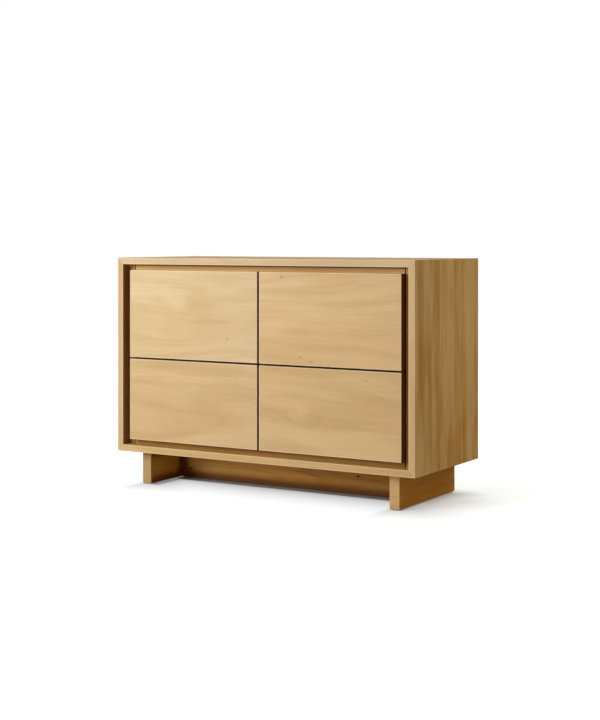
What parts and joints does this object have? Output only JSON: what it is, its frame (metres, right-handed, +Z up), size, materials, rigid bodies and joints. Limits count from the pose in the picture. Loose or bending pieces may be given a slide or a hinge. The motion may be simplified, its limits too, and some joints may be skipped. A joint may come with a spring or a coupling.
{
  "type": "drawer unit",
  "caption": "Free-standing wooden drawer unit with a mitred case on a low board plinth and inset handleless fronts, pulled out by the finger gap around them.",
  "frame": {"origin": "on the floor under the middle of the case", "axes": "+X to the viewer's right along the width, +Y to the back, +Z up; the drawers face -Y"},
  "size_m": [1, 0.412, 0.683],
  "materials": {
    "case_wood": "clear satin oil",
    "front_wood": "clear satin oil",
    "plinth_wood": "clear satin oil",
    "box_wood": "planed, matt",
    "sheet_wood": "plywood, matt",
    "slide_steel": "zinc plated",
    "screw_steel": "zinc plated",
    "felt": "pressed felt",
    "bumper": "soft, matt"
  },
  "bodies": {
    "case": {"top_panel": "case_wood", "bottom_panel": "case_wood", "left_side_panel": "case_wood", "right_side_panel": "case_wood", "mitre_splines": "sheet_wood", "back_panel": "sheet_wood", "back_screws": "screw_steel", "centre_divider": "case_wood", "left_stile": "case_wood", "right_stile": "case_wood", "top_rail": "case_wood", "bottom_rail": "case_wood", "runner_battens": "box_wood", "left_foot": "plinth_wood", "right_foot": "plinth_wood", "cross_board": "plinth_wood", "base_screws": "screw_steel", "felt_pads": "felt", "closing_bumpers": "bumper", "upper_left_slide_outer_members": "slide_steel", "upper_right_slide_outer_members": "slide_steel", "lower_left_slide_outer_members": "slide_steel", "lower_right_slide_outer_members": "slide_steel"},
    "upper_left_drawer": {"upper_left_front": "front_wood", "upper_left_box_left_side": "box_wood", "upper_left_box_right_side": "box_wood", "upper_left_box_front": "box_wood", "upper_left_box_back": "box_wood", "upper_left_box_bottom": "sheet_wood", "upper_left_front_screws": "screw_steel", "upper_left_slide_inner_members": "slide_steel"},
    "upper_left_runners": {"upper_left_slide_middle_members": "slide_steel"},
    "upper_right_drawer": {"upper_right_front": "front_wood", "upper_right_box_left_side": "box_wood", "upper_right_box_right_side": "box_wood", "upper_right_box_front": "box_wood", "upper_right_box_back": "box_wood", "upper_right_box_bottom": "sheet_wood", "upper_right_front_screws": "screw_steel", "upper_right_slide_inner_members": "slide_steel"},
    "upper_right_runners": {"upper_right_slide_middle_members": "slide_steel"},
    "lower_left_drawer": {"lower_left_front": "front_wood", "lower_left_box_left_side": "box_wood", "lower_left_box_right_side": "box_wood", "lower_left_box_front": "box_wood", "lower_left_box_back": "box_wood", "lower_left_box_bottom": "sheet_wood", "lower_left_front_screws": "screw_steel", "lower_left_slide_inner_members": "slide_steel"},
    "lower_left_runners": {"lower_left_slide_middle_members": "slide_steel"},
    "lower_right_drawer": {"lower_right_front": "front_wood", "lower_right_box_left_side": "box_wood", "lower_right_box_right_side": "box_wood", "lower_right_box_front": "box_wood", "lower_right_box_back": "box_wood", "lower_right_box_bottom": "sheet_wood", "lower_right_front_screws": "screw_steel", "lower_right_slide_inner_members": "slide_steel"},
    "lower_right_runners": {"lower_right_slide_middle_members": "slide_steel"}
  },
  "joints": [
    {"name": "upper_left_drawer_slide", "type": "slide", "parent": "case", "child": "upper_left_drawer", "axis": [0, -1, 0], "range_m": [0, 0.34]},
    {"name": "upper_left_runner_slide", "type": "slide", "parent": "case", "child": "upper_left_runners", "axis": [0, -1, 0], "range_m": [0, 0.17]},
    {"name": "upper_right_drawer_slide", "type": "slide", "parent": "case", "child": "upper_right_drawer", "axis": [0, -1, 0], "range_m": [0, 0.34]},
    {"name": "upper_right_runner_slide", "type": "slide", "parent": "case", "child": "upper_right_runners", "axis": [0, -1, 0], "range_m": [0, 0.17]},
    {"name": "lower_left_drawer_slide", "type": "slide", "parent": "case", "child": "lower_left_drawer", "axis": [0, -1, 0], "range_m": [0, 0.34]},
    {"name": "lower_left_runner_slide", "type": "slide", "parent": "case", "child": "lower_left_runners", "axis": [0, -1, 0], "range_m": [0, 0.17]},
    {"name": "lower_right_drawer_slide", "type": "slide", "parent": "case", "child": "lower_right_drawer", "axis": [0, -1, 0], "range_m": [0, 0.34]},
    {"name": "lower_right_runner_slide", "type": "slide", "parent": "case", "child": "lower_right_runners", "axis": [0, -1, 0], "range_m": [0, 0.17]}
  ],
  "couplings": [
    {"joint": "upper_left_runner_slide", "follows": "upper_left_drawer_slide", "ratio": 0.5},
    {"joint": "upper_right_runner_slide", "follows": "upper_right_drawer_slide", "ratio": 0.5},
    {"joint": "lower_left_runner_slide", "follows": "lower_left_drawer_slide", "ratio": 0.5},
    {"joint": "lower_right_runner_slide", "follows": "lower_right_drawer_slide", "ratio": 0.5}
  ]
}
